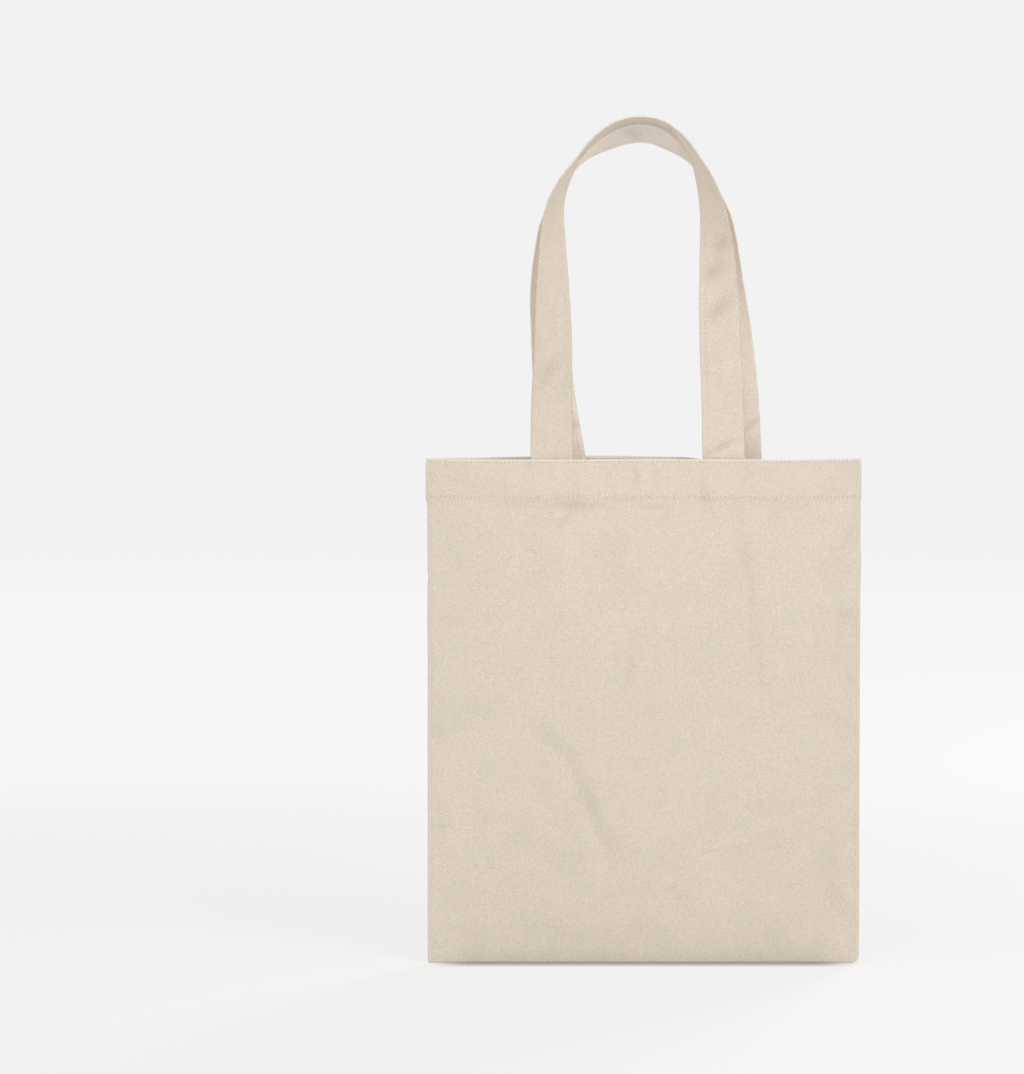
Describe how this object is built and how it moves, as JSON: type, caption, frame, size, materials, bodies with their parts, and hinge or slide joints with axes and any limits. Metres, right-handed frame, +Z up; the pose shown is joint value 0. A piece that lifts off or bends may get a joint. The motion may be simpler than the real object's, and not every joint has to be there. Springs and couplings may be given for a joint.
{
  "type": "canvas tote bag",
  "caption": "Flat open-topped canvas tote bag with a turned hem and shoulder-length loop handles of folded strap.",
  "frame": {"origin": "middle of the bottom seam, on the floor it stands on", "axes": "+Z up to the mouth and handles, +X along the width towards the right side seam, -Y out of the front panel"},
  "size_m": [0.38, 0.0737, 0.7434],
  "materials": {
    "canvas": "plain-woven natural cotton canvas",
    "canvas_inside": "the inside of the same canvas",
    "strap_canvas": "the same canvas folded into a strap",
    "thread": "matt cotton sewing thread"
  },
  "bodies": {
    "base": {"bottom_seam": "canvas", "left_side_seam": "canvas_inside", "right_side_seam": "canvas_inside", "bottom_seam_thread": "thread", "left_seam_thread": "thread", "right_seam_thread": "thread", "bottom_overlock": "thread", "left_overlock": "thread", "right_overlock": "thread"},
    "front": {"front_panel": "canvas", "front_hem": "canvas_inside", "front_rim_thread": "thread", "front_hem_thread": "thread", "front_left_strap_end": "strap_canvas", "front_right_strap_end": "strap_canvas"},
    "back": {"back_panel": "canvas", "back_hem": "canvas_inside", "back_rim_thread": "thread", "back_hem_thread": "thread", "back_left_strap_end": "strap_canvas", "back_right_strap_end": "strap_canvas"},
    "front_handle": {"front_handle": "strap_canvas", "front_handle_thread": "thread"},
    "back_handle": {"back_handle": "strap_canvas", "back_handle_thread": "thread"}
  },
  "joints": [
    {"name": "front_open", "type": "hinge", "parent": "base", "child": "front", "pos_m": [0, -0.00195, 0.00315], "axis": [1, 0, 0], "range_deg": [0, 4]},
    {"name": "back_open", "type": "hinge", "parent": "base", "child": "back", "pos_m": [0, 0.00195, 0.00315], "axis": [-1, 0, 0], "range_deg": [0, 4]},
    {"name": "front_handle_swing", "type": "hinge", "parent": "front", "child": "front_handle", "pos_m": [0, -0.021, 0.445], "axis": [1, 0, 0], "range_deg": [0, 165]},
    {"name": "back_handle_swing", "type": "hinge", "parent": "back", "child": "back_handle", "pos_m": [0, 0.021, 0.445], "axis": [-1, 0, 0], "range_deg": [0, 165]}
  ],
  "couplings": [
    {"joint": "back_open", "follows": "front_open", "ratio": 1}
  ]
}
